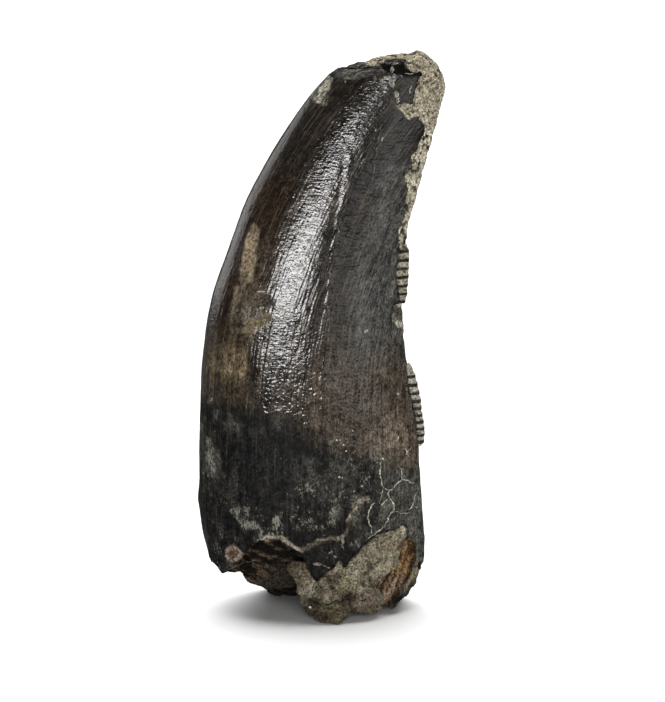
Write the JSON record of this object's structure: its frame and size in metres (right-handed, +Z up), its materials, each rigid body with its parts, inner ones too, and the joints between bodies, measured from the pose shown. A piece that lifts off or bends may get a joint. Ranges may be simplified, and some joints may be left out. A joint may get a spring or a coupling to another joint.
{
  "type": "tyrannosaurus tooth",
  "caption": "Broken fossil tooth crown with a serrated rear edge, a sandstone-filled base and a stone crust on its blunt apex.",
  "frame": {"origin": "middle of the footprint, on the surface the tooth stands on", "axes": "+Z up along the tooth, +X towards the distal edge with its denticles, +Y to the back through the tooth's thickness"},
  "size_m": [0.0248, 0.0148, 0.0569],
  "materials": {
    "enamel": "glossy, wrinkled dark brown to black fossil enamel",
    "sandstone": "rough, granular grey-beige sandstone"
  },
  "bodies": {
    "root": {"tooth_crown": "enamel", "base_matrix": "sandstone", "tip_matrix": "sandstone"}
  },
  "joints": []
}
